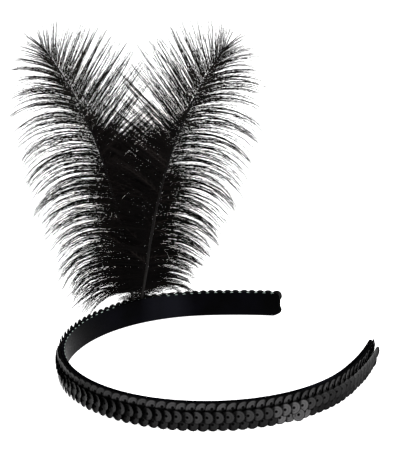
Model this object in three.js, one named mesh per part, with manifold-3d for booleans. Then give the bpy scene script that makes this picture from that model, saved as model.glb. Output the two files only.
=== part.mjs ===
// A feather headband: an open plastic hoop, a tape of three rows of sequins round its outside,
// and two ostrich plumes whose quills are tucked behind the tape. Millimetres, +Z up.
// The hoop lies on its lower rim. Its middle is on the -X side, its two ends point to +X.
import * as THREE from 'three';
import { mergeVertices } from 'three/addons/utils/BufferGeometryUtils.js';
import Module from 'manifold-3d';

// Hoop: each half of its inner face is three tangent arcs, from the middle to the end.
const MIDDLE_RADIUS = 68.3;
const MIDDLE_ARC = 48.9;
const SIDE_RADIUS = 76.5;
const SIDE_ARC = 100.8;
const END_RADIUS = 175;
const END_ARC = 43.8;
const HOOP_HEIGHT = 13.7;
const HOOP_THICKNESS = 1.6;
const HOOP_CHAMFER = 0.35;
const HOOP_END_ROUND = 4.5;

// Sequin trim: a woven tape with flat round sequins in rows, each overlapping the next.
const TAPE_THICKNESS = 0.7;
const SEQUIN_DIAMETER = 6;
const SEQUIN_PITCH = 4.55;
const ROW_SPACING = 4.25;
const SEQUIN_STEP = 0.22;
const SEQUIN_RISE = 0.3;
const MIDDLE_ROW_RISE = 0.66;
const STEP_RUN = 0.04;
const TRIM_OVERHANG = 0.7;
const SEQUIN_SIDES = 10;
const END_SEQUIN_SHARE = 0.93;

// Plumes: where they are tucked in, measured along the inner face from the middle of the hoop.
const PLUME_PLACE = 113.4;
const POCKET_RAMP = 16;
const QUILL_SPACING = 5.4;
const QUILL_FOOT = 9;
const QUILL_FOOT_WIDTH = 1.9;
const QUILL_FOOT_THICKNESS = 0.9;
const QUILL_LENGTH = 148;
const QUILL_BASE_DIAMETER = 1.9;
const QUILL_TIP_DIAMETER = 0.8;
const QUILL_LEAN = 7.2;
const QUILL_BEND = 29.5;
const QUILL_BEND_POWER = 1.75;
const PLUME_TURN = 32;
const PLUME_TURN_RISE = 30;
const PLUME_SET_BACK = 3.4;
const SET_BACK_SHARE = 0.25;
const BARB_LENGTH = 44;
const DROOP_POWER = 1.2;
const LOCK_WIDTH = 8.4;
const LOCK_THICKNESS = 1.5;
const LOCK_TIP_THICKNESS = 0.7;
const LOCKS_A_SIDE = 15;
const FIRST_LOCK = 0.055;
const LAST_LOCK = 0.955;

// Clearance between two pieces that touch.
const CLEARANCE = 0.3;

// Faces flatter together than this are made one, and points nearer than this are merged.
const FLATNESS = 0.01;
const POINT_SIZE = 0.0001;

// Barbs along a plume: where (share of the quill), then for the outer and the inner side
// the length (share of BARB_LENGTH), the angle from the quill and the droop, in degrees.
const BARB_COLUMNS = ['at', 'outLength', 'outAngle', 'outDroop', 'inLength', 'inAngle', 'inDroop'];
const BARB_ROWS = [
  [0.03, 0.64, 66, 50, 0.46, 78, 30],
  [0.12, 0.67, 64, 52, 0.54, 80, 22],
  [0.27, 0.80, 66, 56, 0.68, 76, 10],
  [0.45, 0.94, 62, 62, 0.86, 64, 4],
  [0.64, 0.98, 50, 68, 1.08, 58, 0],
  [0.75, 0.83, 40, 58, 0.92, 57, 0],
  [0.87, 0.54, 29, 42, 0.60, 53, 0],
  [1.00, 0.17, 10, 8, 0.17, 16, 0],
];

// Locks: widths along one as shares of the widest, the share of that width that the shortest
// lock would have, and in degrees how far every other lock leans out of the plumes' plane.
const LOCK_WIDTHS = [0.7, 1, 0.95, 0.65, 0.05];
const SHORT_LOCK_SHARE = 0.45;
const OUTER_LOCK_LEANS = [5, -11];
const INNER_LOCK_LEANS = [-9, -16];

const wasm = await Module();
wasm.setup();

const rad = THREE.MathUtils.degToRad;
const smooth = (value, from, to) => THREE.MathUtils.smoothstep(value, from, to);

// The hoop's arcs, as radius and turning angle, so that a curve at any offset has the same angles.
const ARCS = [
  { radius: MIDDLE_RADIUS, angle: MIDDLE_ARC / MIDDLE_RADIUS },
  { radius: SIDE_RADIUS, angle: SIDE_ARC / SIDE_RADIUS },
  { radius: END_RADIUS, angle: END_ARC / END_RADIUS },
];

// The length of half a curve that runs round the hoop at an offset from its inner face.
function halfLength(offset) {
  return ARCS.reduce((sum, arc) => sum + (arc.radius + offset) * arc.angle, 0);
}

// The place at a distance along such a curve, signed from the middle, and its heading.
function alongHoop(distance, offset) {
  const side = Math.sign(distance) || 1;
  let left = Math.abs(distance);
  let heading = 0;
  let x = -offset;
  let y = 0;
  ARCS.forEach((arc, index) => {
    const radius = arc.radius + offset;
    const last = index === ARCS.length - 1;
    const run = last ? left : Math.min(left, radius * arc.angle);
    const next = heading + run / radius;
    x += radius * (Math.cos(heading) - Math.cos(next));
    y += radius * (Math.sin(next) - Math.sin(heading));
    heading = next;
    left -= run;
  });
  return { x, y: side * y, heading: side * heading };
}

// The same distance counted on another offset, by equal turning angles.
function distanceOn(distance, from, to) {
  let left = distance;
  let total = 0;
  ARCS.forEach((arc, index) => {
    const last = index === ARCS.length - 1;
    const run = last ? left : Math.min(left, (arc.radius + from) * arc.angle);
    total += run * (arc.radius + to) / (arc.radius + from);
    left -= run;
  });
  return total;
}

// A solid loft through rings of points, all with as many points, closed by its two end rings.
function loft(rings) {
  const count = rings[0].length;
  const points = rings.flat();
  const faces = [];
  for (let i = 0; i < rings.length - 1; i += 1) {
    for (let j = 0; j < count; j += 1) {
      const a = i * count + j;
      const b = i * count + (j + 1) % count;
      faces.push(a, b, a + count, b, b + count, a + count);
    }
  }
  const top = (rings.length - 1) * count;
  for (let j = 1; j < count - 1; j += 1) {
    faces.push(0, j + 1, j);
    faces.push(top, top + j, top + j + 1);
  }
  const geometry = new THREE.BufferGeometry();
  geometry.setAttribute('position', new THREE.Float32BufferAttribute(points.flatMap((p) => p.toArray()), 3));
  geometry.setIndex(faces);
  return geometry;
}

// A three.js geometry as a solid that can be joined, turned right side out if need be.
function solidFrom(geometry) {
  const bare = new THREE.BufferGeometry();
  bare.setAttribute('position', geometry.getAttribute('position'));
  bare.setIndex(geometry.getIndex());
  const merged = mergeVertices(bare, POINT_SIZE);
  const make = (triVerts) => new wasm.Manifold(
    new wasm.Mesh({ numProp: 3, vertProperties: merged.attributes.position.array, triVerts }),
  );
  const faces = new Uint32Array(merged.index.array);
  const solid = make(faces);
  if (solid.volume() > 0) {
    return solid;
  }
  for (let i = 0; i < faces.length; i += 3) {
    [faces[i + 1], faces[i + 2]] = [faces[i + 2], faces[i + 1]];
  }
  return make(faces);
}

// Joins solids in pairs and gives the three.js geometry of the whole.
function joined(solids) {
  let round = solids;
  while (round.length > 1) {
    const next = [];
    for (let i = 0; i < round.length; i += 2) {
      next.push(i + 1 < round.length ? round[i].add(round[i + 1]) : round[i]);
    }
    round = next;
  }
  const mesh = round[0].asOriginal().simplify(FLATNESS).getMesh();
  const geometry = new THREE.BufferGeometry();
  geometry.setAttribute('position', new THREE.BufferAttribute(mesh.vertProperties, 3));
  geometry.setIndex(new THREE.BufferAttribute(mesh.triVerts, 1));
  return geometry;
}

// The hoop

const HALF_HOOP = halfLength(0);

// Half the hoop's height at a distance from its end, where the corners are round.
function hoopHalfHeight(fromEnd) {
  const round = Math.min(HOOP_END_ROUND, HOOP_HEIGHT / 2 - HOOP_CHAMFER);
  const into = Math.max(0, round - fromEnd);
  return HOOP_HEIGHT / 2 - (round - Math.sqrt(Math.max(0, round * round - into * into)));
}

// A cross-section of the hoop: an upright bar with small chamfers.
function hoopRing(distance) {
  const half = hoopHalfHeight(HALF_HOOP - Math.abs(distance));
  const chamfer = Math.min(HOOP_CHAMFER, HOOP_THICKNESS / 3);
  const { x, y, heading } = alongHoop(distance, 0);
  const corners = [
    [chamfer, -half],
    [HOOP_THICKNESS - chamfer, -half],
    [HOOP_THICKNESS, chamfer - half],
    [HOOP_THICKNESS, half - chamfer],
    [HOOP_THICKNESS - chamfer, half],
    [chamfer, half],
    [0, half - chamfer],
    [0, chamfer - half],
  ];
  return corners.map(([out, up]) => new THREE.Vector3(
    x - out * Math.cos(heading),
    y + out * Math.sin(heading),
    up,
  ));
}

// Distances from end to end, in even steps with finer ones round the corners of the ends.
function hoopStations() {
  const steps = 44;
  const cornerSteps = 4;
  const straight = HALF_HOOP - HOOP_END_ROUND;
  const half = [];
  for (let i = 1; i <= steps / 2; i += 1) {
    half.push(straight * i / (steps / 2));
  }
  for (let i = 1; i <= cornerSteps; i += 1) {
    half.push(straight + HOOP_END_ROUND * Math.sin(rad(90 * i / cornerSteps)));
  }
  return [...half.map((d) => -d).reverse(), 0, ...half];
}

const hoopGeometry = loft(hoopStations().map(hoopRing));

// The sequin trim

// How far the tape stands off the hoop: it bulges over the feet of the quills.
const POCKET_CENTRE = HOOP_THICKNESS + CLEARANCE + QUILL_FOOT_THICKNESS / 2;
function pocketBulge(distance) {
  const reach = QUILL_SPACING / 2 + QUILL_FOOT_WIDTH / 2 + 2 * CLEARANCE;
  const away = Math.abs(distance - PLUME_PLACE);
  return (QUILL_FOOT_THICKNESS + CLEARANCE) * (1 - smooth(away, reach, reach + POCKET_RAMP));
}

const TAPE_BACK = HOOP_THICKNESS + CLEARANCE;
const TAPE_FACE = TAPE_BACK + TAPE_THICKNESS;
const HALF_TRIM = halfLength(TAPE_FACE) + TRIM_OVERHANG;

// A point on the tape's face, at the middle of its height.
function trimPoint(distance) {
  const onHoop = Math.sign(distance) * distanceOn(Math.abs(distance), TAPE_FACE, 0);
  const { x, y, heading } = alongHoop(distance, TAPE_FACE);
  const bulge = pocketBulge(onHoop);
  return new THREE.Vector3(x - bulge * Math.cos(heading), y + bulge * Math.sin(heading), 0);
}

// That point, with the way along the tape and out of its face there.
function trimFrame(distance) {
  const reach = SEQUIN_PITCH / 2;
  const along = trimPoint(distance + reach).sub(trimPoint(distance - reach)).normalize();
  const out = new THREE.Vector3(-along.y, along.x, 0);
  return { place: trimPoint(distance), along, out };
}

// Where the sequins of the two edge rows sit, from end to end.
const EDGE_SPAN = 2 * HALF_TRIM - SEQUIN_DIAMETER;
const EDGE_COUNT = Math.floor(EDGE_SPAN / SEQUIN_PITCH) + 1;
const edgePlace = (index) => (index - (EDGE_COUNT - 1) / 2) * SEQUIN_PITCH;

// How far a many-sided disc with a flat side up reaches from its middle, at an offset along the row.
function discReach(offset) {
  const radius = SEQUIN_DIAMETER / 2;
  const side = 2 * Math.PI / SEQUIN_SIDES;
  const corners = [];
  for (let j = 0; j * side <= Math.PI / 2 + side; j += 1) {
    const angle = (j + 0.5) * side;
    corners.push([radius * Math.sin(angle), radius * Math.cos(angle)]);
  }
  const away = Math.abs(offset);
  if (away <= corners[0][0]) {
    return corners[0][1];
  }
  for (let j = 1; j < corners.length; j += 1) {
    if (away <= corners[j][0]) {
      const [low, high] = [corners[j - 1], corners[j]];
      return THREE.MathUtils.mapLinear(away, low[0], high[0], low[1], high[1]);
    }
  }
  return 0;
}

// The tape with its two edge rows: an upright strip with scalloped edges. Each sequin's face is
// flat, rises along the row and steps down to the next, the upper row one way, the lower the other.
function edgeRowsGeometry() {
  const flat = SEQUIN_DIAMETER / 2 * Math.sin(Math.PI / SEQUIN_SIDES);
  const split = ROW_SPACING / 8;
  const trimEnd = END_SEQUIN_SHARE * SEQUIN_DIAMETER / 2;
  const rings = [];
  for (let i = 0; i < EDGE_COUNT; i += 1) {
    const before = i === 0 ? trimEnd : SEQUIN_PITCH / 2;
    const after = i === EDGE_COUNT - 1 ? trimEnd : SEQUIN_PITCH / 2;
    const middle = edgePlace(i);
    const start = trimFrame(middle - before);
    const end = trimFrame(middle + after);
    for (const offset of [STEP_RUN - before, -flat, flat, after - STEP_RUN]) {
      const share = (offset + before) / (before + after);
      const reach = ROW_SPACING + discReach(offset);
      const tilt = SEQUIN_STEP * offset / SEQUIN_PITCH;
      const corners = [
        [-TAPE_THICKNESS, -reach],
        [SEQUIN_RISE - tilt, -reach],
        [SEQUIN_RISE - tilt, -split],
        [SEQUIN_RISE + tilt, split],
        [SEQUIN_RISE + tilt, reach],
        [-TAPE_THICKNESS, reach],
      ];
      rings.push(corners.map(([rise, up]) => {
        const from = start.place.clone().addScaledVector(start.out, rise);
        const to = end.place.clone().addScaledVector(end.out, rise);
        return from.lerp(to, share).setZ(up);
      }));
    }
  }
  return loft(rings);
}

// One sequin of the middle row: a many-sided disc, its raised edge over its neighbour
// and its back sunk in the edge rows.
function middleSequin(distance) {
  const { place, along, out } = trimFrame(distance);
  const slope = Math.atan2(SEQUIN_STEP, SEQUIN_PITCH);
  const depth = MIDDLE_ROW_RISE - SEQUIN_RISE + 3 * SEQUIN_STEP;
  const disc = new THREE.CylinderGeometry(
    SEQUIN_DIAMETER / 2,
    SEQUIN_DIAMETER / 2,
    depth,
    SEQUIN_SIDES,
  );
  disc.rotateY(Math.PI / SEQUIN_SIDES);
  disc.rotateZ(-slope);
  disc.applyMatrix4(new THREE.Matrix4().makeBasis(along, out, new THREE.Vector3(0, 0, 1)));
  const centre = place.clone().addScaledVector(out, MIDDLE_ROW_RISE - depth / 2);
  disc.translate(...centre.toArray());
  return disc;
}

function trimSolid() {
  const middleRow = [];
  for (let i = 0; i < EDGE_COUNT - 1; i += 1) {
    middleRow.push(middleSequin(edgePlace(i + 0.5)));
  }
  return joined([edgeRowsGeometry(), ...middleRow].map(solidFrom));
}

// The plumes

// Where the quills stand, and the way along the hoop and out of it there.
const PLUME_FRAME = (() => {
  const { x, y, heading } = alongHoop(PLUME_PLACE, 0);
  const along = new THREE.Vector3(Math.sin(heading), Math.cos(heading), 0);
  const out = new THREE.Vector3(-Math.cos(heading), Math.sin(heading), 0);
  return { place: new THREE.Vector3(x, y, 0).addScaledVector(out, POCKET_CENTRE), along, out };
})();

// A point of the plumes in space, from its place across, out of and up the plumes' own plane.
// The plane follows the hoop at the foot and turns by PLUME_TURN over the PLUME_TURN_RISE above it.
function plumePoint(across, out, up) {
  const turn = -rad(PLUME_TURN) * smooth(up, HOOP_HEIGHT / 2, HOOP_HEIGHT / 2 + PLUME_TURN_RISE);
  const turned = (way) => way.clone().applyAxisAngle(new THREE.Vector3(0, 0, 1), turn);
  return PLUME_FRAME.place.clone()
    .addScaledVector(turned(PLUME_FRAME.along), across)
    .addScaledVector(turned(PLUME_FRAME.out), out)
    .setZ(up);
}

// The quill of the plume on one side, above the band: place and lean at a share of its length.
const QUILL_STEPS = 64;
function quillTable(side) {
  const table = [{ across: side * QUILL_SPACING / 2, up: HOOP_HEIGHT / 2, lean: rad(QUILL_LEAN) }];
  for (let i = 1; i <= QUILL_STEPS; i += 1) {
    const last = table[i - 1];
    const lean = rad(QUILL_LEAN + QUILL_BEND * (i / QUILL_STEPS) ** QUILL_BEND_POWER);
    const step = QUILL_LENGTH / QUILL_STEPS;
    table.push({
      across: last.across + side * step * Math.sin(lean),
      up: last.up + step * Math.cos(lean),
      lean,
    });
  }
  return table;
}

function quillAt(table, share) {
  const at = THREE.MathUtils.clamp(share, 0, 1) * QUILL_STEPS;
  const low = Math.min(Math.floor(at), QUILL_STEPS - 1);
  const part = at - low;
  const mix = (key) => THREE.MathUtils.lerp(table[low][key], table[low + 1][key], part);
  return { across: mix('across'), up: mix('up'), lean: mix('lean') };
}

// The right plume stands in front of the left one, nearer the middle of the hoop.
function setBack(side, up) {
  const above = up - HOOP_HEIGHT / 2;
  return -side * PLUME_SET_BACK * smooth(above, 0, QUILL_LENGTH * SET_BACK_SHARE);
}

function quillGeometry(side, table) {
  const sides = 6;
  const ring = (across, out, up, lean, width, thickness) => {
    const points = [];
    for (let j = 0; j < sides; j += 1) {
      const angle = 2 * Math.PI * j / sides;
      const wide = width / 2 * Math.cos(angle);
      points.push(plumePoint(
        across + wide * Math.cos(lean),
        out + thickness / 2 * Math.sin(angle),
        up - side * wide * Math.sin(lean),
      ));
    }
    return points;
  };
  const base = table[0];
  const footTop = HOOP_HEIGHT / 2 - CLEARANCE;
  const footLean = Math.tan(rad(QUILL_LEAN));
  const footAcross = (up) => base.across - side * (HOOP_HEIGHT / 2 - up) * footLean / 2;
  const rings = [];
  for (const up of [HOOP_HEIGHT / 2 - QUILL_FOOT, footTop]) {
    rings.push(ring(footAcross(up), 0, up, 0, QUILL_FOOT_WIDTH, QUILL_FOOT_THICKNESS));
  }
  const steps = 12;
  const firstShare = 0.03;
  for (let i = 0; i <= steps; i += 1) {
    const share = THREE.MathUtils.lerp(firstShare, 1, i / steps);
    const { across, up, lean } = quillAt(table, share);
    const width = THREE.MathUtils.lerp(QUILL_BASE_DIAMETER, QUILL_TIP_DIAMETER, share);
    rings.push(ring(across, setBack(side, up), up, lean, width, width));
  }
  return loft(rings);
}

// The barb table's value of one column at a share of the quill.
function barbValue(column, share) {
  const index = BARB_COLUMNS.indexOf(column);
  const next = BARB_ROWS.findIndex((row) => row[0] >= share);
  if (next <= 0) {
    return BARB_ROWS[next === 0 ? 0 : BARB_ROWS.length - 1][index];
  }
  const [low, high] = [BARB_ROWS[next - 1], BARB_ROWS[next]];
  return THREE.MathUtils.mapLinear(share, low[0], high[0], low[index], high[index]);
}

// A lock of barbs: a thin pointed blade that leaves the quill and bends down along its length.
// hand is 1 on the plume's outer side and -1 on its inner side.
function lockGeometry(side, table, share, hand, depthLean) {
  const prefix = hand > 0 ? 'out' : 'in';
  const length = BARB_LENGTH * barbValue(`${prefix}Length`, share);
  const angle = rad(barbValue(`${prefix}Angle`, share));
  const droop = rad(barbValue(`${prefix}Droop`, share));
  const root = quillAt(table, share);
  const widest = LOCK_WIDTH * THREE.MathUtils.lerp(SHORT_LOCK_SHARE, 1, length / BARB_LENGTH);
  const steps = LOCK_WIDTHS.length - 1;
  const bow = Math.sign(depthLean);
  const heading = (part) => side * root.lean + side * hand * (angle + droop * part ** DROOP_POWER);
  const rings = [];
  let across = root.across;
  let up = root.up;
  for (let i = 0; i <= steps; i += 1) {
    const part = i / steps;
    const half = LOCK_WIDTHS[i] * widest / 2;
    const thick = THREE.MathUtils.lerp(LOCK_THICKNESS, LOCK_TIP_THICKNESS, part) / 2;
    const out = setBack(side, root.up) + part * length * Math.tan(rad(depthLean));
    const sideAcross = Math.cos(heading(part)) * half;
    const sideUp = -Math.sin(heading(part)) * half;
    rings.push([
      plumePoint(across - sideAcross, out - bow * thick, up - sideUp),
      plumePoint(across + sideAcross, out - bow * thick, up + sideUp),
      plumePoint(across, out + bow * thick, up),
    ]);
    const between = heading(part + 0.5 / steps);
    across += length / steps * Math.sin(between);
    up += length / steps * Math.cos(between);
  }
  return loft(rings);
}

// One plume: its quill with a row of locks on each side and one at the tip.
function plumeSolid(side) {
  const table = quillTable(side);
  const locks = [];
  for (let i = 0; i < LOCKS_A_SIDE; i += 1) {
    const share = THREE.MathUtils.lerp(FIRST_LOCK, LAST_LOCK, i / (LOCKS_A_SIDE - 1));
    locks.push(lockGeometry(side, table, share, 1, side * OUTER_LOCK_LEANS[i % 2]));
    locks.push(lockGeometry(side, table, share, -1, side * INNER_LOCK_LEANS[i % 2]));
  }
  locks.push(lockGeometry(side, table, 1, 1, -side));
  return joined([solidFrom(quillGeometry(side, table)), ...locks.map(solidFrom)]);
}

// Materials and assembly

const plastic = { color: 0x0b0b0e, roughness: 0.32, metalness: 0 };
const sequins = { color: 0x1c1c1e, roughness: 0.38, metalness: 0.75 };
const feather = { color: 0x100e0d, roughness: 0.7, metalness: 0 };

function named(name, geometry, look) {
  const flat = geometry.toNonIndexed();
  flat.computeVertexNormals();
  const mesh = new THREE.Mesh(flat, new THREE.MeshStandardMaterial({ ...look, flatShading: true }));
  mesh.name = name;
  return mesh;
}

const headband = new THREE.Group();
headband.add(
  named('hoop', hoopGeometry, plastic),
  named('sequin_trim', trimSolid(), sequins),
  named('plume_left', plumeSolid(-1), feather),
  named('plume_right', plumeSolid(1), feather),
);

// The origin is the middle of the whole object's footprint, on the surface that it rests on.
const bounds = new THREE.Box3().setFromObject(headband, true);
const footprint = bounds.getCenter(new THREE.Vector3()).setZ(bounds.min.z);
headband.position.sub(footprint);

export default headband;
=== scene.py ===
"""A feather headband: a black plastic hoop lying on its rim, three rows of sequins round its
outside and two ostrich plumes standing up behind it. Shapes are worked out in millimetres in the
frame of the hoop and are turned into metres when a mesh is made.
"""
import math

import bpy
import numpy as np
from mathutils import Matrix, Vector


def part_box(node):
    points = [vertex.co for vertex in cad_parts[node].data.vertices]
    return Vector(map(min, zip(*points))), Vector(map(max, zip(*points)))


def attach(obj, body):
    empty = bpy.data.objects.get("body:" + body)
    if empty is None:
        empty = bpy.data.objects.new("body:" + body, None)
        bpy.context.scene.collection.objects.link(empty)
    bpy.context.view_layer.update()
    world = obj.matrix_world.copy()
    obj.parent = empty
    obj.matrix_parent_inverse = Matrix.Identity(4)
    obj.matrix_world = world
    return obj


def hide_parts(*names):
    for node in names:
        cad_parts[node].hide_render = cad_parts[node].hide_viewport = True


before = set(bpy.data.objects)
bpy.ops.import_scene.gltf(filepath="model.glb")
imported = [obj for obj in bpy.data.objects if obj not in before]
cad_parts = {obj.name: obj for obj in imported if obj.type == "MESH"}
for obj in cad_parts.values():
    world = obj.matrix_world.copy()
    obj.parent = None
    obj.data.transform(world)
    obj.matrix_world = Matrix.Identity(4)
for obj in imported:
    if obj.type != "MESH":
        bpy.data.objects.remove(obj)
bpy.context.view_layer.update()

MM = 0.001

# Hoop, in millimetres: each half of its inner face is three tangent arcs (radius, arc length).
HOOP_ARCS = ((68.3, 48.9), (76.5, 100.8), (175.0, 43.8))
HOOP_HEIGHT = 13.7
HOOP_THICKNESS = 1.6
HOOP_END_ROUND = 4.5
HOOP_FILLET = 0.42

# Sequin trim
TAPE_BACK = 1.9
TAPE_THICKNESS = 0.6
TAPE_HEIGHT = 12.9
STITCH_LENGTH = 1.7
STITCH_THREAD = 0.2
STITCH_PLACE = 0.05
STITCH_SINK = 0.15
STITCH_BOW = 0.1
FIRST_STITCH = 4
TRIM_LINE = 2.6
TRIM_OVERHANG = 0.7
SEQUIN_RADIUS = 3.15
SEQUIN_PITCH = 4.55
SEQUIN_THICKNESS = 0.13
SEQUIN_CUP = 0.36
SEQUIN_CREASE = 0.60
SEQUIN_TILT = 12.5
UPPER_TILT = 8.0
END_SEQUIN_TILT = 16.0
SEQUIN_NOD = 4.0
SEQUIN_SHIFT = 1.35
EDGE_ROW_RISE = 0.45
MIDDLE_ROW_RISE = 1.3
# Distances of the stretch where the discs of the two lower rows get a painted highlight
PAINTED_HIGHLIGHT_STRETCH = (-122.5, -104.5)
SEQUIN_HOLE = 0.6
UPPER_ROW = 3.95
LOWER_ROW = -3.88
LOOSE_SEQUIN = -117.5

# Plumes
PLUME_PLACE = 113.4
POCKET_RAMP = 16.0
QUILL_SPACING = 5.4
QUILL_FOOT = 9.0
QUILL_FOOT_WIDTH = 1.9
QUILL_FOOT_THICKNESS = 0.9
QUILL_LENGTH = 148.0
QUILL_BASE_DIAMETER = 1.9
QUILL_TIP_DIAMETER = 0.5
QUILL_LEAN = 7.2
QUILL_BEND = 29.5
QUILL_BEND_POWER = 1.75
PLUME_TURN = 32.0
PLUME_TURN_RISE = 30.0
PLUME_SET_BACK = 3.4
SET_BACK_SHARE = 0.25
BARB_LENGTH = 44.0
DROOP_POWER = 1.2
CLEARANCE = 0.3

# Fine feathering: how many, the length of the down, and for barbs and down the half width of a
# barb, the reach and half width of its barbules, and their opening angles at root and tip.
BARBS_A_SIDE = 560
BARBULES = 62
DOWN_BARBS = 980
DOWN_BARBULES = 23
DOWN_LENGTH = 5.0
DOWN_OUTER_LENGTH = 15.0
DOWN_INNER_LENGTH = 26.0
DOWN_FOOT_LENGTH = 9.0
DOWN_BELOW_RIM = 3.0
BARB_LOOK = (0.19, 3.0, 0.12, 17.0, 9.0)
DOWN_LOOK = (0.19, 3.6, 0.18, 36.0, 24.0)

# Barbs along a plume: share of the quill, then for the outer and the inner side their length on
# the left and the right plume (share of BARB_LENGTH), the angle from the quill and the droop, in
# degrees.
BARB_AT = (0.03, 0.12, 0.27, 0.45, 0.64, 0.75, 0.87, 1.00)
OUTER_BARBS = {
    "left": (0.77, 0.80, 0.98, 1.14, 1.08, 0.90, 0.64, 0.29),
    "right": (0.64, 0.64, 0.80, 1.04, 1.09, 0.95, 0.71, 0.32),
    "angle": (66, 64, 66, 62, 50, 40, 29, 10),
    "droop": (58, 62, 66, 72, 74, 60, 42, 8),
}
INNER_BARBS = {
    "left": (0.46, 0.54, 0.68, 0.82, 1.00, 0.96, 0.70, 0.26),
    "right": (0.46, 0.54, 0.68, 0.82, 1.01, 1.00, 0.77, 0.33),
    "angle": (78, 80, 76, 64, 58, 57, 53, 16),
    "droop": (30, 22, 10, 4, 0, 0, 0, 0),
}

# Camera: its place in millimetres from the middle of the hoop's inner face, its angles in degrees
CAMERA_PLACE = (-262.7, -519.6, 255.25)
CAMERA_DOWN = 16.95
CAMERA_HEADING = -32.80
CAMERA_LENS = 104.5
SENSOR = 36.0

# Studio: the soft light from above, and a low soft box at the front in metres
SKY_WAY = (0.27, 0.42, -0.87)
SKY_SPREAD = 80.0
SKY_POWER = 4.8
KEY_PLACE = (0.25, -0.85, 0.25)
KEY_TARGET = (0.0, -0.093, 0.007)
KEY_SIZE = (0.7, 0.4)
KEY_POWER = 3.5
FLOOR_REACH = 12.0

UP = np.array([0.0, 0.0, 1.0])


def hoop_origin():
    """The middle of the hoop's inner face in space: inside the CAD hoop's box at its -X side."""
    low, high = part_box("hoop")
    return np.array([
        low.x / MM + HOOP_THICKNESS,
        (low.y + high.y) / 2 / MM,
        (low.z + high.z) / 2 / MM,
    ])


ORIGIN = hoop_origin()


# Curves round the hoop

def half_length(offset):
    """Length of half a curve at an offset from the inner face: each arc turns the same angle."""
    return sum((radius + offset) * length / radius for radius, length in HOOP_ARCS)


def along_hoop(distance, offset):
    """Place and heading at distances along such a curve: arcs are walked one after another, and
    each adds radius times the change of cosine and sine of the heading."""
    left = np.abs(distance)
    side = np.where(distance < 0, -1.0, 1.0)
    heading = np.zeros_like(left)
    x = np.full_like(left, -offset)
    y = np.zeros_like(left)
    for index, (inner_radius, length) in enumerate(HOOP_ARCS):
        radius = inner_radius + offset
        span = radius * length / inner_radius
        run = left if index == len(HOOP_ARCS) - 1 else np.minimum(left, span)
        turned = heading + run / radius
        x = x + radius * (np.cos(heading) - np.cos(turned))
        y = y + radius * (np.sin(turned) - np.sin(heading))
        heading = turned
        left = left - run
    return np.stack([x, side * y, np.zeros_like(x)], -1), side * heading


def ways(heading):
    """Unit vectors along the hoop and out of it for a heading."""
    along = np.stack([np.sin(heading), np.cos(heading), np.zeros_like(heading)], -1)
    out = np.stack([-np.cos(heading), np.sin(heading), np.zeros_like(heading)], -1)
    return along, out


def smooth_step(value, low, high):
    """0 below low, 1 above high, and a smooth cubic between."""
    share = np.clip((value - low) / (high - low), 0.0, 1.0)
    return share * share * (3 - 2 * share)


def pocket_bulge(distance):
    """How far the trim stands off the hoop: full over the two quill feet, fading on both sides."""
    reach = QUILL_SPACING / 2 + QUILL_FOOT_WIDTH / 2 + 2 * CLEARANCE
    away = np.abs(distance - PLUME_PLACE)
    return (QUILL_FOOT_THICKNESS + CLEARANCE) * (1 - smooth_step(away, reach, reach + POCKET_RAMP))


def trim_frame(distance):
    """Place on the trim's line, with the ways along and out that follow the pocket's bulge.
    The ways come from two points half a pitch before and after."""
    ratio = half_length(0) / half_length(TRIM_LINE)

    def place(at):
        centre, heading = along_hoop(at, TRIM_LINE)
        return centre + pocket_bulge(at * ratio)[..., None] * ways(heading)[1]

    step = SEQUIN_PITCH / 2
    along = place(distance + step) - place(distance - step)
    along = along / np.linalg.norm(along, axis=-1, keepdims=True)
    out = np.stack([-along[..., 1], along[..., 0], np.zeros_like(along[..., 0])], -1)
    return place(distance), along, out


# Meshes

def make_piece(name, points, quads, triangles, material, smooth=True, values=None, spots=None):
    """A mesh object from arrays: points in millimetres round the hoop's origin, corner indices of
    quads and triangles, one value a point as the attribute 'shade' and one UV pair a point."""
    mesh = bpy.data.meshes.new(name)
    quads = np.asarray(quads, np.int32).reshape(-1, 4)
    triangles = np.asarray(triangles, np.int32).reshape(-1, 3)
    corners = np.concatenate([quads.ravel(), triangles.ravel()])
    starts = np.concatenate([
        np.arange(len(quads)) * 4,
        len(quads) * 4 + np.arange(len(triangles)) * 3,
    ]).astype(np.int32)
    mesh.vertices.add(len(points))
    mesh.vertices.foreach_set("co", ((points + ORIGIN) * MM).astype(np.float32).ravel())
    mesh.loops.add(len(corners))
    mesh.loops.foreach_set("vertex_index", corners)
    mesh.polygons.add(len(starts))
    mesh.polygons.foreach_set("loop_start", starts)
    mesh.update(calc_edges=True)
    mesh.polygons.foreach_set("use_smooth", np.full(len(starts), smooth))
    if values is not None:
        shade = mesh.attributes.new("shade", "FLOAT", "POINT")
        shade.data.foreach_set("value", np.asarray(values, np.float32).ravel())
    if spots is not None:
        layer = mesh.uv_layers.new(name="spots")
        layer.uv.foreach_set("vector", np.asarray(spots, np.float32)[corners].ravel())
    mesh.materials.append(material)
    piece = bpy.data.objects.new(name, mesh)
    bpy.context.scene.collection.objects.link(piece)
    return piece


def tube_faces(rings, sides):
    """Quads between rings of points round a tube, and fans of triangles that close its ends."""
    ring = np.arange(rings - 1)[:, None] * sides
    here = np.arange(sides)[None, :]
    after = (here + 1) % sides
    quads = np.stack([ring + here, ring + after, ring + sides + after, ring + sides + here], -1)
    fan = np.arange(1, sides - 1)
    last = (rings - 1) * sides
    start = np.stack([np.zeros_like(fan), fan + 1, fan], -1)
    end = np.stack([np.full_like(fan, last), last + fan, last + fan + 1], -1)
    return quads.reshape(-1, 4), np.concatenate([start, end])


def repeat_faces(faces, count, stride):
    """The same faces for many copies of a shape whose points follow one another."""
    faces = np.asarray(faces)
    if not len(faces):
        return faces
    return (faces[None] + (np.arange(count) * stride)[:, None, None]).reshape(-1, faces.shape[1])


# Materials

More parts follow.
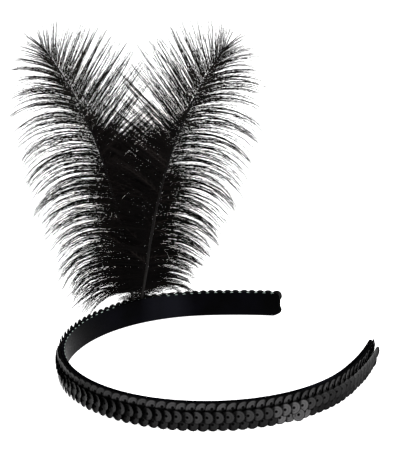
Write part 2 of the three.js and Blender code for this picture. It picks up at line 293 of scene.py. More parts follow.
def new_material(name):
    """An empty node material, its nodes, its links and its shader."""
    material = bpy.data.materials.new(name)
    material.use_nodes = True
    nodes = material.node_tree.nodes
    nodes.clear()
    shader = nodes.new("ShaderNodeBsdfPrincipled")
    output = nodes.new("ShaderNodeOutputMaterial")
    material.node_tree.links.new(shader.outputs["BSDF"], output.inputs["Surface"])
    return material, nodes, material.node_tree.links, shader


def noise(nodes, links, coordinates, scale, detail=3.0, roughness=0.5):
    """Noise on given coordinates, in repeats a metre."""
    node = nodes.new("ShaderNodeTexNoise")
    node.inputs["Scale"].default_value = scale
    node.inputs["Detail"].default_value = detail
    node.inputs["Roughness"].default_value = roughness
    links.new(coordinates, node.inputs["Vector"])
    return node.outputs["Fac"]


def ramp(nodes, links, value, stops):
    """A colour ramp through (position, grey or colour) stops."""
    node = nodes.new("ShaderNodeValToRGB")
    elements = node.color_ramp.elements
    while len(elements) < len(stops):
        elements.new(0.5)
    for element, (position, colour) in zip(elements, stops):
        element.position = position
        if isinstance(colour, (int, float)):
            colour = (colour, colour, colour)
        element.color = (*colour, 1.0)
    links.new(value, node.inputs["Fac"])
    return node.outputs["Color"]


def bump(nodes, links, height, shader, strength, distance):
    """Feeds a height into the shader's normal as bump of a depth in metres."""
    node = nodes.new("ShaderNodeBump")
    node.inputs["Strength"].default_value = strength
    node.inputs["Distance"].default_value = distance
    links.new(height, node.inputs["Height"])
    links.new(node.outputs["Normal"], shader.inputs["Normal"])


def object_coordinates(nodes):
    """Places on the piece itself, in metres."""
    return nodes.new("ShaderNodeTexCoord").outputs["Object"]


def attribute(nodes, name):
    """A value that the mesh carries at each point."""
    node = nodes.new("ShaderNodeAttribute")
    node.attribute_name = name
    return node.outputs["Fac"]


def coordinate(nodes, links, vector, axis):
    """One axis of a vector."""
    node = nodes.new("ShaderNodeSeparateXYZ")
    links.new(vector, node.inputs["Vector"])
    return node.outputs[axis]


def ranged(nodes, links, value, low, high, start=0.0, end=1.0):
    """A value carried from the range low to high onto the range start to end."""
    node = nodes.new("ShaderNodeMapRange")
    node.inputs["From Min"].default_value = low
    node.inputs["From Max"].default_value = high
    node.inputs["To Min"].default_value = start
    node.inputs["To Max"].default_value = end
    links.new(value, node.inputs["Value"])
    return node.outputs["Result"]


def blended(nodes, links, first, second, way="MULTIPLY"):
    """Two colours multiplied, or blended in full in another way."""
    node = nodes.new("ShaderNodeMixRGB")
    node.blend_type = way
    node.inputs["Fac"].default_value = 1.0
    links.new(first, node.inputs["Color1"])
    if isinstance(second, tuple):
        node.inputs["Color2"].default_value = second
    else:
        links.new(second, node.inputs["Color2"])
    return node.outputs["Color"]


def hoop_plastic():
    """Smooth moulded black plastic: faint flow marks, soft gloss, fine rubbing, and a painted bluish
    sheen on one stretch of the arm beside the plumes."""
    material, nodes, links, shader = new_material("hoop_black_plastic")
    place = object_coordinates(nodes)
    flow = noise(nodes, links, place, 60.0, 4.0)
    colour = ramp(nodes, links, flow, [
        (0.35, (0.0004, 0.0004, 0.0005)),
        (0.7, (0.0011, 0.0011, 0.0020)),
    ])
    # Painted bluish sheen: colour added on one stretch of the arm, picked by the piece's X.
    stretch = ranged(nodes, links, coordinate(nodes, links, place, "X"), 0.0, 0.04)
    painted_sheen = ramp(nodes, links, stretch, [
        (0.05, (0.0, 0.0, 0.0)),
        (0.28, (0.0022, 0.0023, 0.0032)),
        (0.60, (0.0026, 0.0027, 0.0036)),
        (0.85, (0.0, 0.0, 0.0)),
    ])
    links.new(blended(nodes, links, colour, painted_sheen, "ADD"), shader.inputs["Base Color"])
    rubbed = noise(nodes, links, place, 420.0, 5.0, 0.65)
    gloss = ramp(nodes, links, rubbed, [(0.3, 0.24), (0.75, 0.36)])
    links.new(gloss, shader.inputs["Roughness"])
    shader.inputs["Specular IOR Level"].default_value = 0.007
    bump(nodes, links, noise(nodes, links, place, 900.0, 2.0), shader, 0.08, 0.0002)
    return material


def sequin_film():
    """Satin charcoal film: painted shade at the hole's edge, along the pressed ring and at the rim,
    tiny scratches, uneven tone that also holds painted light and shade, and painted shade where
    the next sequin and the next row cover it. The UV map holds places on the disc in radii, which
    grow towards the neighbour and the row that cover it."""
    material, nodes, links, shader = new_material("sequin_charcoal_film")
    place = object_coordinates(nodes)
    uv = nodes.new("ShaderNodeUVMap")
    uv.uv_map = "spots"
    # Painted shade: darker at the hole's edge, along the pressed ring and at the rim.
    ring = ramp(nodes, links, attribute(nodes, "radius"), [
        (0.20, 0.03), (0.27, 0.9), (0.52, 0.85), (0.60, 0.6), (0.66, 0.95), (0.88, 0.85), (0.96, 0.05),
    ])
    # Painted shade on the part of each disc that lies under its neighbour's raised edge.
    shifted = nodes.new("ShaderNodeMath")
    shifted.operation = "ADD"
    shifted.inputs[1].default_value = 0.4
    links.new(coordinate(nodes, links, uv.outputs["UV"], "X"), shifted.inputs[0])
    painted_overlap_shade = ramp(nodes, links, shifted.outputs["Value"], [(0.4, 1.0), (0.52, 0.8), (0.75, 0.02)])
    # Painted shadow of the middle row on the edge rows, along the disc's UV Y.
    upward = coordinate(nodes, links, uv.outputs["UV"], "Y")
    under = ramp(nodes, links, upward, [(0.0, 1.0), (0.24, 0.03)])
    painted_disc_shade = blended(nodes, links, ring, blended(nodes, links, painted_overlap_shade, under))
    # The attribute 'shade' adds each disc's own random tone and its painted light and shade.
    tone = blended(nodes, links, painted_disc_shade, attribute(nodes, "shade"))
    tint = blended(nodes, links, tone, (0.030, 0.0295, 0.030, 1.0))
    links.new(tint, shader.inputs["Base Color"])
    shader.inputs["Metallic"].default_value = 0.4
    scratches = noise(nodes, links, place, 3200.0, 3.0, 0.7)
    links.new(ramp(nodes, links, scratches, [(0.3, 0.30), (0.8, 0.5)]), shader.inputs["Roughness"])
    shader.inputs["Specular IOR Level"].default_value = 0.12
    shader.inputs["Specular Tint"].default_value = (0.25, 0.25, 0.25, 1.0)
    bump(nodes, links, noise(nodes, links, place, 700.0, 2.0), shader, 0.25, 0.0003)
    return material


def tape_cloth():
    """Black woven tape: a fine over-and-under grid."""
    material, nodes, links, shader = new_material("trim_tape_weave")
    place = object_coordinates(nodes)
    weave = nodes.new("ShaderNodeTexWave")
    weave.wave_type = "BANDS"
    weave.bands_direction = "Z"
    weave.inputs["Scale"].default_value = 900.0
    weave.inputs["Distortion"].default_value = 3.0
    links.new(place, weave.inputs["Vector"])
    colour = ramp(nodes, links, weave.outputs["Fac"], [(0.2, 0.001), (0.8, 0.003)])
    links.new(colour, shader.inputs["Base Color"])
    shader.inputs["Roughness"].default_value = 0.85
    shader.inputs["Specular IOR Level"].default_value = 0.03
    bump(nodes, links, weave.outputs["Fac"], shader, 0.6, 0.0002)
    return material


def stitch_thread():
    """Dull grey-green sewing thread with a twist."""
    material, nodes, links, shader = new_material("trim_sewing_thread")
    place = object_coordinates(nodes)
    twist = noise(nodes, links, place, 2600.0, 2.0)
    colour = ramp(nodes, links, twist, [(0.3, (0.12, 0.16, 0.14)), (0.7, (0.30, 0.38, 0.34))])
    links.new(colour, shader.inputs["Base Color"])
    shader.inputs["Roughness"].default_value = 0.5
    bump(nodes, links, twist, shader, 0.4, 0.0001)
    return material


def feather_barb():
    """Dyed black ostrich barbs: brown-black, with a tone of their own on each barb."""
    material, nodes, links, shader = new_material("ostrich_barb_black")
    colour = ramp(nodes, links, attribute(nodes, "shade"), [
        (0.0, (0.0007, 0.0006, 0.0006)),
        (0.4, (0.0030, 0.0026, 0.0024)),
        (1.0, (0.0160, 0.0130, 0.0118)),
    ])
    links.new(colour, shader.inputs["Base Color"])
    shader.inputs["Roughness"].default_value = 0.55
    shader.inputs["Specular IOR Level"].default_value = 0.015
    return material


def feather_quill():
    """Dyed quill: charcoal, faintly streaked, darker in its upper part, with a soft shine."""
    material, nodes, links, shader = new_material("ostrich_quill_charcoal")
    place = object_coordinates(nodes)
    streak = noise(nodes, links, place, 900.0, 3.0)
    colour = ramp(nodes, links, streak, [
        (0.3, (0.003, 0.0027, 0.0026)),
        (0.7, (0.008, 0.0073, 0.007)),
    ])
    height = coordinate(nodes, links, place, "Z")
    darker = ranged(nodes, links, height, 0.05, 0.10, 1.0, 0.12)
    links.new(blended(nodes, links, colour, darker), shader.inputs["Base Color"])
    shader.inputs["Roughness"].default_value = 0.5
    shader.inputs["Specular IOR Level"].default_value = 0.06
    bump(nodes, links, streak, shader, 0.3, 0.0001)
    return material


# The hoop

def hoop_section(half_height):
    """An upright bar's outline with round corners: a quarter circle is carried to each corner.
    Gives (out, up) for each half height."""
    fillet = HOOP_FILLET
    steps = np.linspace(0, math.pi / 2, 5)
    quarters = []
    for corner in range(4):
        angle = corner * math.pi / 2 + steps
        quarters.append(np.stack([np.cos(angle), np.sin(angle)], -1))
    circle = np.concatenate(quarters)
    sign_out = np.repeat([1.0, -1.0, -1.0, 1.0], len(steps))
    sign_up = np.repeat([1.0, 1.0, -1.0, -1.0], len(steps))
    out = HOOP_THICKNESS / 2 + sign_out * (HOOP_THICKNESS / 2 - fillet) + fillet * circle[:, 0]
    up = sign_up * (half_height[:, None] - fillet) + fillet * circle[:, 1]
    return np.broadcast_to(out, up.shape), up


def make_hoop(material):
    """The bar's outline carried along the hoop's inner curve. Towards each end its half height
    falls along a quarter circle, and the last rings shrink so that the edge is soft."""
    half = half_length(0)
    even = np.linspace(0, half - HOOP_END_ROUND, 150)[1:]
    corner = half - HOOP_END_ROUND + HOOP_END_ROUND * np.sin(np.linspace(0, math.pi / 2, 14))[1:]
    side = np.concatenate([even, corner])
    distance = np.concatenate([-side[::-1], [0.0], side])
    into = np.clip(HOOP_END_ROUND - (half - np.abs(distance)), 0, HOOP_END_ROUND)
    fall = HOOP_END_ROUND - np.sqrt(HOOP_END_ROUND ** 2 - into ** 2)
    out, up = hoop_section(HOOP_HEIGHT / 2 - fall)
    centre, heading = along_hoop(distance, 0.0)
    outward = ways(heading)[1]
    points = centre[:, None] + out[..., None] * outward[:, None] + up[..., None] * UP
    quads, triangles = tube_faces(len(distance), out.shape[1])
    return make_piece("hoop_band", points.reshape(-1, 3), quads, triangles, material)


# The sequin trim

def sequin_shape():
    """One sequin: rings round its hole, crease and rim, closed underneath, as points (along, up,
    out). The face is flat to the crease and rises to the rim as a shallow cup."""
    sides = 14
    profile = np.array([
        [SEQUIN_HOLE, 0.0],
        [SEQUIN_RADIUS * SEQUIN_CREASE, SEQUIN_CUP * 0.12],
        [SEQUIN_RADIUS, SEQUIN_CUP],
        [SEQUIN_RADIUS, SEQUIN_CUP - SEQUIN_THICKNESS],
        [SEQUIN_HOLE, -SEQUIN_THICKNESS],
    ])
    angle = 2 * math.pi * (np.arange(sides) + 0.5) / sides
    along = profile[:, 0, None] * np.sin(angle)
    up = profile[:, 0, None] * np.cos(angle)
    out = np.broadcast_to(profile[:, 1, None], along.shape)
    points = np.stack([along, up, out], -1).reshape(-1, 3)
    rings = len(profile)
    ring = np.arange(rings)[:, None]
    here = np.arange(sides)[None, :]
    after = (here + 1) % sides
    following = (ring + 1) % rings
    quads = np.stack([
        ring * sides + here,
        ring * sides + after,
        following * sides + after,
        following * sides + here,
    ], -1).reshape(-1, 4)
    return points, quads


def make_sequins(material):
    """All sequins as one field. Each copy of the shape is tilted about the upright so that its
    raised edge lies over its neighbour, nodded by a little of its own, and set in its row. The
    tilt is smaller round the crown and towards the bare arm's end, where the last disc stands up
    on its own. A disc's tone is its row's, which holds painted light and shade, with a painted
    highlight on one stretch, painted shade towards the crown and at the far end, and a random
    part of its own."""
    shape, quads = sequin_shape()
    dice = np.random.default_rng(11)
    half = half_length(TRIM_LINE) + TRIM_OVERHANG
    count = int((2 * half - 2 * SEQUIN_RADIUS) // SEQUIN_PITCH) + 1
    edge = (np.arange(count) - (count - 1) / 2) * SEQUIN_PITCH + SEQUIN_SHIFT
    between = edge - SEQUIN_PITCH / 2
    # A row's places, height, rise, tilt, tone (painted light and shade: the top row lighter, the
    # bottom row darker), tone on the painted highlight stretch and how far painted overlap shade
    # reaches its discs: beyond the crown, and everywhere
    rows = (
        (edge, LOWER_ROW, EDGE_ROW_RISE, -SEQUIN_TILT, 0.4, 2.3, 0.3, 0.0),
        (edge, UPPER_ROW, EDGE_ROW_RISE, UPPER_TILT, 1.3, 1.2, 0.0, -0.25),
        (between, 0.0, MIDDLE_ROW_RISE, -SEQUIN_TILT, 0.82, 1.95, 0.35, 0.0),
    )
    points = []
    shades = []
    spots = []
    for distance, height, rise, lean, tone, highlight_tone, crown_shade_reach, cover in rows:
        number = len(distance)
        distance = distance + dice.normal(0, 0.12, number)
        place, along, out = trim_frame(distance)
        leading = np.sign(lean)
        flatter = 1 - 0.5 * smooth_step(-distance, -PAINTED_HIGHLIGHT_STRETCH[0], 165.0)
        flatter = flatter * (0.5 + 0.5 * smooth_step(np.abs(distance - 12.0), 12.0, 40.0))
        tilt = lean * flatter + dice.normal(0, 1.6, number)
        at_end = (distance < distance.min() + SEQUIN_PITCH / 2) & (leading < 0)
        tilt = np.radians(np.where(at_end, -END_SEQUIN_TILT, tilt))
        nod = np.radians(SEQUIN_NOD * np.sign(height) + dice.normal(0, 2.0, number))
        tipped = along * np.cos(tilt)[:, None] + out * np.sin(tilt)[:, None]
        facing = out * np.cos(tilt)[:, None] - along * np.sin(tilt)[:, None]
        upright = UP * np.cos(nod)[:, None] + facing * np.sin(nod)[:, None]
        facing = facing * np.cos(nod)[:, None] - UP * np.sin(nod)[:, None]
        loose = (height < 0) & (np.abs(distance - LOOSE_SEQUIN) < SEQUIN_PITCH / 2)
        rise = rise + np.where(loose, MIDDLE_ROW_RISE, 0.0)
        wander = np.clip(dice.normal(0, 0.06, number), -0.05, 0.1)
        centre = place + out * rise[:, None] + UP * (height + wander)[:, None]
        copies = (
            centre[:, None]
            + shape[None, :, 0, None] * tipped[:, None]
            + shape[None, :, 1, None] * upright[:, None]
            + shape[None, :, 2, None] * facing[:, None]
        )
        points.append(copies)
        # Painted highlight on one stretch of the lower rows; painted shade past it, towards the crown
        # and at the far end. The random part is the discs' own tone.
        pale = (distance > PAINTED_HIGHLIGHT_STRETCH[0]) & (distance < PAINTED_HIGHLIGHT_STRETCH[1])
        darker = 1.0 if leading > 0 else 1 - 0.45 * smooth_step(-distance, -PAINTED_HIGHLIGHT_STRETCH[0], 130.0)
        darker = darker * (0.35 + 0.65 * smooth_step(-distance, 5.0, 50.0))
        darker = darker * (1 - 0.5 * smooth_step(-distance, 150.0, 190.0))
        shade = np.where(pale, highlight_tone, tone * darker) * (0.8 + 0.4 * dice.random(number))
        shades.append(np.repeat(shade, len(shape)))
        # UV places that steer the painted overlap shade and the painted row shadow; the loose disc gets
        # none.
        spot = shape[:, :2] / SEQUIN_RADIUS * (-leading, -np.sign(height))
        spot[:, 1] = np.where(height == 0.0, -np.abs(shape[:, 1] / SEQUIN_RADIUS), spot[:, 1])
        spot = np.tile(spot, (number, 1))
        if height < 0:
            spot[:, 1] -= 0.22
            spot -= np.repeat(loose, len(shape))[:, None]
        crown = crown_shade_reach * smooth_step(distance, -62.0, -35.0) + cover
        spot[:, 0] += np.repeat(crown, len(shape))
        spots.append(spot)
    points = np.concatenate(points)
    faces = repeat_faces(quads[:, ::-1], len(points), len(shape))
    piece = make_piece(
        "sequin_field", points.reshape(-1, 3), faces, [], material,
        values=np.concatenate(shades), spots=np.concatenate(spots),
    )
    radius = piece.data.attributes.new("radius", "FLOAT", "POINT")
    disc_radius = np.linalg.norm(shape[:, :2], axis=1) / SEQUIN_RADIUS
    radius.data.foreach_set("value", np.tile(disc_radius, len(points)).astype(np.float32))
    piece.data.set_sharp_from_angle(angle=math.radians(9))
    return piece


def make_tape(material):
    """The tape: a flat upright strip behind the sequins, its thin outline carried along the
    trim's line."""
    half = half_length(TRIM_LINE) + TRIM_OVERHANG - SEQUIN_RADIUS * 0.6
    place, _, out = trim_frame(np.linspace(-half, half, 360))
    back = TAPE_BACK - TRIM_LINE
    front = back + TAPE_THICKNESS
    soft = TAPE_THICKNESS / 4
    top = TAPE_HEIGHT / 2
    outline = np.array([
        [back + soft, -top], [front - soft, -top], [front, soft - top], [front, top - soft],
        [front - soft, top], [back + soft, top], [back, top - soft], [back, soft - top],
    ])
    points = place[:, None] + outline[None, :, 0, None] * out[:, None] + outline[None, :, 1, None] * UP
    quads, triangles = tube_faces(len(place), len(outline))
    return make_piece("trim_tape", points.reshape(-1, 3), quads, triangles, material)


def make_stitches(material):
    """Stitches that catch the trim over the hoop's upper rim, from near the crown round the arm
    with the plumes, one between each two sequins: a thin tube that lies along the rim's inner edge
    and bows up."""
    half = half_length(TRIM_LINE)
    count = int((half - SEQUIN_RADIUS) // SEQUIN_PITCH)
    distance = (np.arange(FIRST_STITCH, count) + 0.5) * SEQUIN_PITCH + SEQUIN_SHIFT
    count = len(distance)
    steps = 7
    sides = 5
    part = np.linspace(-1, 1, steps)
    thread = STITCH_THREAD * np.sqrt(1.05 - part ** 2)
    spine_along = STITCH_LENGTH / 2 * part
    spine_up = HOOP_HEIGHT / 2 - STITCH_SINK - STITCH_BOW * part ** 2
    place, along, out = trim_frame(distance)
    inward = STITCH_PLACE - TRIM_LINE
    spine = (
        place[:, None] + inward * out[:, None] + spine_up[:, None] * UP
        + spine_along[:, None] * along[:, None]
    )
    angle = 2 * math.pi * np.arange(sides) / sides
    across = np.cos(angle)[:, None] * out[:, None] + np.sin(angle)[:, None] * UP
    ring = spine[:, :, None] + thread[None, :, None, None] * across[:, None]
    quads, triangles = tube_faces(steps, sides)
    return make_piece(
        "edge_stitches", ring.reshape(-1, 3),
        repeat_faces(quads, count, steps * sides),
        repeat_faces(triangles, count, steps * sides), material,
    )


# The plumes

def plume_frame():
    """Where the quills stand in the trim's pocket, with the ways along and out there."""
    place, heading = along_hoop(np.array([PLUME_PLACE]), 0.0)
    along, out = ways(heading)
    pocket = HOOP_THICKNESS + CLEARANCE + QUILL_FOOT_THICKNESS / 2
    return place[0] + pocket * out[0], along[0], out[0]


PLUME_AT, PLUME_ALONG, PLUME_OUT = plume_frame()


def plume_point(across, out, up):
    """A point in space from its place across, out of and up the plumes' own plane. The plane
    follows the hoop at the foot and turns by PLUME_TURN higher up, about the upright."""
    turn = -math.radians(PLUME_TURN) * smooth_step(up - HOOP_HEIGHT / 2, 0, PLUME_TURN_RISE)
    cos = np.cos(turn)[..., None]
    sin = np.sin(turn)[..., None]
    way_across = PLUME_ALONG * cos + np.cross(UP, PLUME_ALONG) * sin
    way_out = PLUME_OUT * cos + np.cross(UP, PLUME_OUT) * sin
    return PLUME_AT + across[..., None] * way_across + out[..., None] * way_out + up[..., None] * UP


def quill_curve(side):
    """The quill of one side above the band, as equal steps along a curve whose lean grows with
    a power of the share of its length."""
    steps = 256
    share = np.linspace(0, 1, steps + 1)
    lean = np.radians(QUILL_LEAN + QUILL_BEND * share ** QUILL_BEND_POWER)
    step = QUILL_LENGTH / steps
    across = side * (QUILL_SPACING / 2 + np.cumsum(np.sin(lean)) * step - math.sin(lean[0]) * step)
    up = HOOP_HEIGHT / 2 + np.cumsum(np.cos(lean)) * step - math.cos(lean[0]) * step
    return share, across, up, lean


def quill_at(curve, share):
    """Place across, place up and lean at shares of the quill."""
    return tuple(np.interp(share, curve[0], column) for column in curve[1:])


def set_back(side, up):
    """How far out of the plumes' plane a quill stands: the right one in front of the left."""
    return -side * PLUME_SET_BACK * smooth_step(up - HOOP_HEIGHT / 2, 0, QUILL_LENGTH * SET_BACK_SHARE)


def make_quill(name, side, curve, material):
    """The quill: a flat foot in the pocket and a round stem that thins to its tip. Rings of
    points stand square to the stem."""
    sides = 10
    rim = HOOP_HEIGHT / 2
    foot_up = np.array([rim - QUILL_FOOT, rim - QUILL_FOOT + 0.5, rim - CLEARANCE])
    share = np.concatenate([[0.015], np.linspace(0.03, 1.0, 60)])
    across, up, lean = quill_at(curve, share)
    fall = (rim - foot_up) * math.tan(math.radians(QUILL_LEAN)) / 2
    across = np.concatenate([side * (QUILL_SPACING / 2 - fall), across])
    up = np.concatenate([foot_up, up])
    lean = np.concatenate([np.zeros(3), lean])
    width = QUILL_BASE_DIAMETER + (QUILL_TIP_DIAMETER - QUILL_BASE_DIAMETER) * share ** 0.8
    foot_width = np.array([QUILL_FOOT_WIDTH * 0.6, QUILL_FOOT_WIDTH, QUILL_FOOT_WIDTH])
    foot_thick = np.array([QUILL_FOOT_THICKNESS * 0.6, QUILL_FOOT_THICKNESS, QUILL_FOOT_THICKNESS])
    wide = np.concatenate([foot_width, width])[:, None] / 2
    thick = np.concatenate([foot_thick, width])[:, None] / 2
    angle = 2 * math.pi * np.arange(sides) / sides
    across_ring = across[:, None] + wide * np.cos(angle) * np.cos(lean)[:, None]
    up_ring = up[:, None] - side * wide * np.cos(angle) * np.sin(lean)[:, None]
    out_ring = set_back(side, up)[:, None] + thick * np.sin(angle)
    points = plume_point(across_ring, out_ring, up_ring)
    quads, triangles = tube_faces(len(up), sides)
    return make_piece(name, points.reshape(-1, 3), quads, triangles, material)


def steps_forward(field, steps_along):
    """Turns headings of equal steps into places: running sums that start at nothing."""
    return np.cumsum(field * steps_along, 1) - field[:, :1] * steps_along


def barb_spines(side, hand, curve, table, share, dice):
    """Centre lines of barbs, as points in the plumes' own plane (across, out, up), and lengths.
    A barb leaves the quill at its angle and its heading turns by its droop; its points are sums of
    equal steps along the heading. Barbs near each other then close up into locks at their tips."""
    count = len(share)
    steps = 8
    part = np.linspace(0, 1, steps)[None, :]
    row = {key: np.interp(share, BARB_AT, column) for key, column in table.items()}
    lock = np.repeat(np.arange(count), dice.integers(3, 11, count))[:count]
    locks = lock.max() + 1
    lock_turn = dice.normal(0, 2.4, locks)[lock]
    lock_depth = dice.normal(0, 6.0, locks)[lock]
    lock_reach = 1 + dice.normal(0, 0.04, locks)[lock]
    reach = row["left" if side < 0 else "right"]
    length = BARB_LENGTH * reach * lock_reach * (1 + dice.normal(0, 0.06, count))
    angle = row["angle"] + 0.1 * lock_turn + dice.normal(0, 2.0, count)
    droop = row["droop"] + lock_turn + dice.normal(0, 3.5, count)
    across, up, lean = quill_at(curve, share)
    waver = dice.normal(0, 3.0, count)[:, None] * np.sin(part * 5.0 + dice.random(count)[:, None] * 6.3)
    turn = np.radians(angle[:, None] + droop[:, None] * part ** DROOP_POWER + waver)
    heading = side * lean[:, None] + side * hand * turn
    step = (length / (steps - 1))[:, None]
    depth = np.radians((lock_depth + dice.normal(0, 3.0, count)) - side * (4.0 if hand > 0 else 12.0))
    spine = np.stack([
        across[:, None] + steps_forward(np.sin(heading), step),
        set_back(side, up)[:, None] + part * length[:, None] * np.tan(depth)[:, None],
        up[:, None] + steps_forward(np.cos(heading), step),
    ], -1)
    middle = np.zeros((locks, steps, 3))
    np.add.at(middle, lock, spine)
    middle /= np.bincount(lock, minlength=locks)[:, None, None]
    close = 0.62 - 0.3 * smooth_step(share, 0.6, 0.9)
    pull = (close[:, None] * smooth_step(part, 0.45, 1.0))[..., None]
    return spine + (middle[lock] - spine) * pull, length


def down_spines(side, curve, share, dice):
    """Centre lines of the soft short barbs all round the quill: each leaves it at an angle, to a
    random side and depth, and droops a little. Most point to the other plume, and there they are
    long up to two thirds of the quill. At the foot they spread low over the band's rim and a
    little behind it, further to the right, and none hangs far below the rim."""
    count = len(share)
    steps = 6
    part = np.linspace(0, 1, steps)[None, :]
    foot = 1 - smooth_step(share, 0.0, 0.2)
    top = 1 - 0.6 * smooth_step(share, 0.3, 0.6)
    hand = np.where(dice.random(count) < np.where(share < 0.5, 0.46, 0.15), 1.0, -1.0)
    rightward = side * hand > 0
    middle = smooth_step(share, 0.04, 0.18) * (1 - smooth_step(share, 0.5, 0.74)) * (hand < 0)
    beyond = (1 - smooth_step(share, 0.4, 0.7)) * (hand > 0)
    beyond = beyond * np.where(rightward, 1.0, smooth_step(share, 0.06, 0.16))
    length = DOWN_LENGTH * top + DOWN_FOOT_LENGTH * foot * np.where(rightward, 1.2, 0.5)
    length = length + DOWN_INNER_LENGTH * middle + DOWN_OUTER_LENGTH * beyond
    length = length * (0.5 + 0.8 * dice.random(count))
    angle = dice.normal(56, 12, count) + 20 * foot - 22 * smooth_step(share, 0.5, 0.9)
    droop = dice.normal(20, 16, count) * (1 - 0.5 * foot)
    across, up, lean = quill_at(curve, share)
    turn = np.radians(angle[:, None] + droop[:, None] * part)
    heading = side * lean[:, None] + side * hand[:, None] * turn
    step = (length / (steps - 1))[:, None]
    depth = dice.normal(0, 14, count) + 12 * foot
    depth = np.radians(np.clip(depth, -28 + 26 * foot, 35))[:, None]
    spine = np.stack([
        across[:, None] + steps_forward(np.sin(heading) * np.cos(depth), step),
        set_back(side, up)[:, None] + steps_forward(np.sin(depth) * np.ones_like(heading), step),
        up[:, None] + steps_forward(np.cos(heading) * np.cos(depth), step),
    ], -1)
    spine[..., 2] = np.maximum(spine[..., 2], HOOP_HEIGHT / 2 - DOWN_BELOW_RIM * part)
    return spine, length


def hair_points(spine_points, sideways, face, width):
    """Three-sided rings round spines: one point ahead of the face and two beside it."""
    return np.stack([
        spine_points + face * width,
        spine_points - face * width * 0.5 + sideways * width,
        spine_points - face * width * 0.5 - sideways * width,
    ], -2)


def feather_piece(name, spine, length, tone, barbules, look, dice, material):
    """Barbs as thin three-sided tapering tubes round their centre lines, and on each barb two rows
    of barbules, tiny four-faced spikes that point forward and away from it. A barbule's reach
    grows with its barb's length and fades along it. look holds the barbs' half width, the
    barbules' reach and half width in millimetres and their opening angles at root and tip."""
    count, steps = spine.shape[:2]
    half_width, longest, half_thick, root_open, tip_open = look
    part = np.linspace(0, 1, steps)
    forward = np.gradient(spine, axis=1)
    forward /= np.linalg.norm(forward, axis=-1, keepdims=True)
    sideways = np.cross(forward, np.array([0.0, 1.0, 0.0]))
    sideways /= np.linalg.norm(sideways, axis=-1, keepdims=True)
    face = np.cross(sideways, forward)
    slim = 0.42 + 0.58 * smooth_step(length, 10.0, 40.0)
    taper = (0.6 + 0.4 * smooth_step(part, 0.0, 0.35)) * (1 - 0.8 * part ** 1.2)
    width = (half_width * slim[:, None] * taper[None, :])[..., None]
    shafts = hair_points(spine, sideways, face, width)
    shaft_quads, shaft_triangles = tube_faces(steps, 3)

    at = (np.arange(barbules) + 0.5) / barbules
    at = np.clip(at[None] + dice.normal(0, 0.4 / barbules, (count, barbules)), 0.002, 0.99)
    place = at * (steps - 1)
    low = np.minimum(place.astype(int), steps - 2)
    mix = (place - low)[..., None]
    pick = np.arange(count)[:, None]

    def along_barb(field):
        return field[pick, low] * (1 - mix) + field[pick, low + 1] * mix

    root = along_barb(spine)
    ahead = along_barb(forward)
    beside = along_barb(sideways)
    facing = along_barb(face)
    row = np.where(np.arange(barbules) % 2 == 0, 1.0, -1.0)[None, :]
    open_angle = root_open + (tip_open - root_open) * smooth_step(at, 0.0, 0.6)
    open_angle = np.radians(np.clip(open_angle + dice.normal(0, 6, at.shape), 3, 60))
    lift = dice.normal(0, 0.35, at.shape)[..., None]
    fade = (1 - at ** 2.4) * (0.55 + 0.9 * dice.random(at.shape))
    reach = longest * (0.2 + 0.8 * smooth_step(length, 4.0, 32.0))[:, None] * fade + 0.1
    way = (
        ahead * np.cos(open_angle)[..., None]
        + beside * (row * np.sin(open_angle))[..., None]
        + facing * (lift * np.sin(open_angle)[..., None])
    )
    tip = root + way * reach[..., None]
    across_way = np.cross(way, facing)
    thick = (half_thick * slim[:, None] * (1 - 0.45 * at))[..., None]
    spikes = np.stack([
        root + facing * thick * 0.6,
        root + across_way * thick - facing * thick * 0.4,
        root - across_way * thick - facing * thick * 0.4,
        tip,
    ], -2)
    spike_triangles = np.array([[0, 2, 1], [0, 1, 3], [1, 2, 3], [2, 0, 3]])
    spike_tone = tone[:, None] + 0.35 * smooth_step(at, 0.3, 1.0)
    values = np.concatenate([np.repeat(tone, steps * 3), np.repeat(spike_tone.ravel(), 4)])
    local = np.concatenate([shafts.reshape(-1, 3), spikes.reshape(-1, 3)])
    points = plume_point(local[:, 0], local[:, 1], local[:, 2])
    shaft_total = count * steps * 3
    quads = repeat_faces(shaft_quads, count, steps * 3)
    triangles = np.concatenate([
        repeat_faces(shaft_triangles, count, steps * 3),
        repeat_faces(spike_triangles, count * barbules, 4) + shaft_total,
    ])
    return make_piece(
        name, points, quads, triangles, material, smooth=False, values=np.clip(values, 0, 1),
    )


def make_barbs(name, side, hand, curve, table, seed, material):
    """One side of a plume: long barbs, closer together towards the foot."""
    dice = np.random.default_rng(seed)
    spread = (np.arange(BARBS_A_SIDE) + dice.random(BARBS_A_SIDE)) / BARBS_A_SIDE
    share = 0.03 + 0.97 * (0.45 * spread + 0.55 * spread ** 1.7)
    spine, length = barb_spines(side, hand, curve, table, share, dice)
    tone = 0.10 + 0.45 * smooth_step(share, 0.25, 0.9) + dice.normal(0, 0.12, BARBS_A_SIDE)
    return feather_piece(name, spine, length, tone, BARBULES, BARB_LOOK, dice, material)


def make_down(name, side, curve, seed, material):
    """The soft short barbs that hide a plume's quill, closer together towards the foot."""
    dice = np.random.default_rng(seed)
    low = dice.random(DOWN_BARBS) < 0.66
    place = dice.random(DOWN_BARBS)
    share = np.where(low, 0.76 * place ** 1.5, 0.38 + 0.34 * place ** 1.3)
    spine, length = down_spines(side, curve, share, dice)
    tone = 0.02 + 0.2 * smooth_step(share, 0.4, 1.0) + np.abs(dice.normal(0, 0.42, DOWN_BARBS))
    return feather_piece(name, spine, length, tone, DOWN_BARBULES, DOWN_LOOK, dice, material)


# The studio

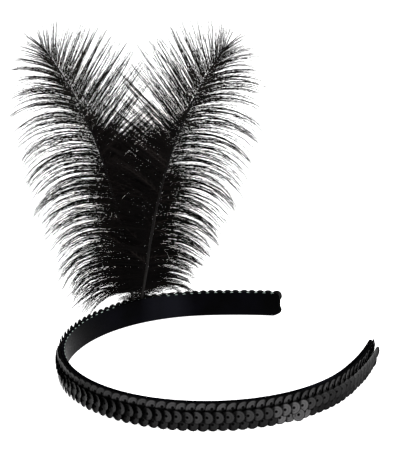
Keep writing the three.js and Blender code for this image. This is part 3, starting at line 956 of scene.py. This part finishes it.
def make_floor():
    """A wide pale floor at the height that the headband rests on."""
    material, nodes, links, shader = new_material("studio_floor")
    shader.inputs["Base Color"].default_value = (0.9, 0.9, 0.9, 1.0)
    shader.inputs["Roughness"].default_value = 0.9
    shader.inputs["Specular IOR Level"].default_value = 0.0
    shader.inputs["Emission Color"].default_value = (1.0, 1.0, 1.0, 1.0)
    shader.inputs["Emission Strength"].default_value = 0.8
    mesh = bpy.data.meshes.new("floor")
    reach = FLOOR_REACH
    corners = [(-reach, -reach, 0), (reach, -reach, 0), (reach, reach, 0), (-reach, reach, 0)]
    mesh.from_pydata(corners, [], [(0, 1, 2, 3)])
    mesh.materials.append(material)
    floor = bpy.data.objects.new("floor", mesh)
    bpy.context.scene.collection.objects.link(floor)


def make_lamp(name, data, power, way):
    """A lamp that shines along a way and isn't seen itself."""
    data.energy = power
    lamp = bpy.data.objects.new(name, data)
    lamp.rotation_euler = way.to_track_quat("-Z", "Y").to_euler()
    lamp.visible_camera = False
    bpy.context.scene.collection.objects.link(lamp)
    return lamp


def make_studio():
    """Dim surroundings, an even soft light from high above and a low soft box at the front."""
    world = bpy.data.worlds.new("studio")
    world.use_nodes = True
    background = world.node_tree.nodes["Background"]
    background.inputs["Color"].default_value = (1.0, 1.0, 1.0, 1.0)
    background.inputs["Strength"].default_value = 0.15
    bpy.context.scene.world = world
    sky = bpy.data.lights.new("overhead", "SUN")
    sky.angle = math.radians(SKY_SPREAD)
    make_lamp("overhead", sky, SKY_POWER, Vector(SKY_WAY))
    box = bpy.data.lights.new("key", "AREA")
    box.shape = "RECTANGLE"
    box.size, box.size_y = KEY_SIZE
    make_lamp("key", box, KEY_POWER, Vector(KEY_TARGET) - Vector(KEY_PLACE)).location = KEY_PLACE
    bpy.context.scene.view_settings.view_transform = "Standard"


def make_camera():
    """The photograph's viewpoint, above the floor and looking down at the hoop."""
    data = bpy.data.cameras.new("camera")
    data.lens = CAMERA_LENS
    data.sensor_width = SENSOR
    data.sensor_fit = "AUTO"
    data.clip_end = 50.0
    camera = bpy.data.objects.new("camera", data)
    camera.location = (ORIGIN + CAMERA_PLACE) * MM
    camera.rotation_euler = (
        math.radians(90 - CAMERA_DOWN), 0.0, math.radians(CAMERA_HEADING),
    )
    bpy.context.scene.collection.objects.link(camera)
    bpy.context.scene.camera = camera


def fit_piece(piece, node):
    """Hides the CAD node that a piece stands for and puts the piece on the root body."""
    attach(piece, "root")
    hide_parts(node)


def main():
    """The studio, then the hoop, the trim's pieces and each plume's pieces."""
    make_camera()
    make_studio()
    make_floor()
    fit_piece(make_hoop(hoop_plastic()), "hoop")
    fit_piece(make_sequins(sequin_film()), "sequin_trim")
    fit_piece(make_tape(tape_cloth()), "sequin_trim")
    fit_piece(make_stitches(stitch_thread()), "sequin_trim")
    quill = feather_quill()
    barb = feather_barb()
    for side, word, seed in ((-1.0, "left", 21), (1.0, "right", 31)):
        node = "plume_" + word
        curve = quill_curve(side)
        fit_piece(make_quill(node + "_quill", side, curve, quill), node)
        outer = make_barbs(node + "_outer_barbs", side, 1.0, curve, OUTER_BARBS, seed, barb)
        fit_piece(outer, node)
        inner = make_barbs(node + "_inner_barbs", side, -1.0, curve, INNER_BARBS, seed + 1, barb)
        fit_piece(inner, node)
        down = make_down(node + "_down", side, curve, seed + 2, barb)
        fit_piece(down, node)


main()
